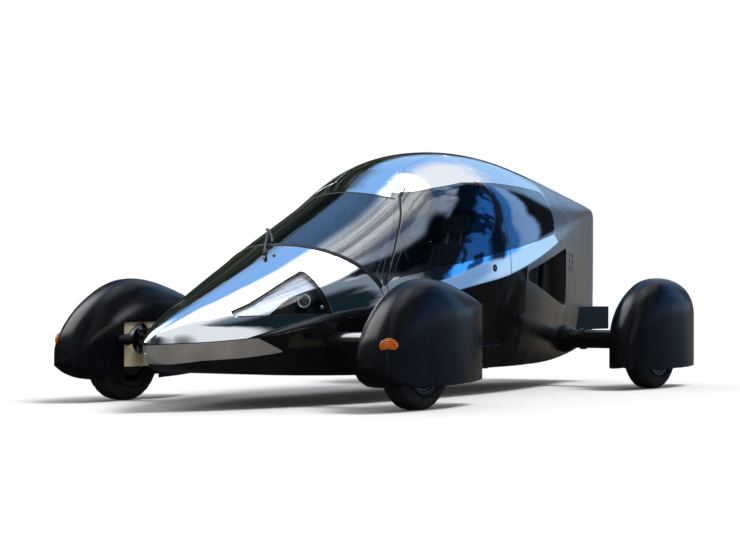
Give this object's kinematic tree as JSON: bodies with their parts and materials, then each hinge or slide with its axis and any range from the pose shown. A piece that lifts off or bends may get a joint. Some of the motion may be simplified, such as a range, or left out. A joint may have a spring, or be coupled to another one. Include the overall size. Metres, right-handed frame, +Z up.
{
  "type": "ultralight car",
  "caption": "Ultralight streamlined closed car: pointed mirror-finish body with large side glass, lift-up doors and wheels carried out on beams in teardrop pods.",
  "frame": {"origin": "middle of the outline on the ground, under the cabin", "axes": "+X forward, +Y to the left side, +Z up"},
  "size_m": [4.436, 2.0876, 1.3663],
  "materials": {
    "chrome": "mirror polished",
    "black_gloss": "gloss",
    "glass": "tinted",
    "clear_glass": "clear",
    "black_plastic": "matte",
    "black_satin": "satin",
    "steel": "brushed",
    "amber": "gloss",
    "rim": "satin",
    "tyre": "matte",
    "seat": "woven",
    "trim": "grained",
    "engine": "matte"
  },
  "bodies": {
    "chassis": {"nose_cowl": "chrome", "lower_tub": "black_gloss", "roof_shell": "chrome", "tail_shell": "chrome", "windscreen": "glass", "quarter_windows": "glass", "headlight_covers": "clear_glass", "headlamps": "black_plastic", "intake_ducts": "black_plastic", "rear_side_boxes": "black_plastic", "front_beam": "black_satin", "rear_beam": "black_satin", "rear_uprights": "steel", "rear_left_pod": "black_satin", "rear_right_pod": "black_satin", "front_seats": "seat", "rear_bench": "seat", "dashboard": "trim", "steering_column": "black_plastic", "roll_cage": "black_satin", "engine_block": "engine", "wiper": "black_plastic", "interior_mirror": "black_plastic", "jack_pads": "black_plastic", "plate_bracket": "black_plastic"},
    "left_door_body": {"left_door": "chrome", "left_door_glass": "glass"},
    "right_door_body": {"right_door": "chrome", "right_door_glass": "glass"},
    "front_left_steering": {"front_left_knuckle": "steel", "front_left_pod": "black_satin", "front_left_indicator": "amber"},
    "front_right_steering": {"front_right_knuckle": "steel", "front_right_pod": "black_satin", "front_right_indicator": "amber"},
    "steering_wheel_body": {"steering_wheel": "trim"},
    "front_left_wheel": {"front_left_rim": "rim", "front_left_tyre": "tyre"},
    "front_right_wheel": {"front_right_rim": "rim", "front_right_tyre": "tyre"},
    "rear_left_wheel": {"rear_left_rim": "rim", "rear_left_tyre": "tyre"},
    "rear_right_wheel": {"rear_right_rim": "rim", "rear_right_tyre": "tyre"}
  },
  "joints": [
    {"name": "front_left_steer", "type": "hinge", "parent": "chassis", "child": "front_left_steering", "pos_m": [1.228, 0.8, 0.33], "axis": [0, 0, 1], "range_deg": [-20, 20]},
    {"name": "front_right_steer", "type": "hinge", "parent": "chassis", "child": "front_right_steering", "pos_m": [1.228, -0.8, 0.33], "axis": [0, 0, 1], "range_deg": [-20, 20]},
    {"name": "steering_wheel_turn", "type": "hinge", "parent": "chassis", "child": "steering_wheel_body", "pos_m": [0.468, 0.262, 0.735], "axis": [-0.9272, 0, 0.3746], "range_deg": [-280, 280]},
    {"name": "left_door_hinge", "type": "hinge", "parent": "chassis", "child": "left_door_body", "pos_m": [-0.022, 0.17, 1.34], "axis": [1, 0, 0], "range_deg": [0, 75]},
    {"name": "right_door_hinge", "type": "hinge", "parent": "chassis", "child": "right_door_body", "pos_m": [-0.022, -0.17, 1.34], "axis": [-1, 0, 0], "range_deg": [0, 75]},
    {"name": "front_left_spin", "type": "hinge", "parent": "front_left_steering", "child": "front_left_wheel", "pos_m": [1.228, 0.905, 0.252], "axis": [0, 1, 0], "continuous": true},
    {"name": "front_right_spin", "type": "hinge", "parent": "front_right_steering", "child": "front_right_wheel", "pos_m": [1.228, -0.905, 0.252], "axis": [0, 1, 0], "continuous": true},
    {"name": "rear_left_spin", "type": "hinge", "parent": "chassis", "child": "rear_left_wheel", "pos_m": [-1.482, 0.905, 0.252], "axis": [0, 1, 0], "continuous": true},
    {"name": "rear_right_spin", "type": "hinge", "parent": "chassis", "child": "rear_right_wheel", "pos_m": [-1.482, -0.905, 0.252], "axis": [0, 1, 0], "continuous": true}
  ],
  "couplings": [
    {"joint": "front_right_steer", "follows": "front_left_steer", "ratio": 1},
    {"joint": "steering_wheel_turn", "follows": "front_left_steer", "ratio": 14}
  ]
}
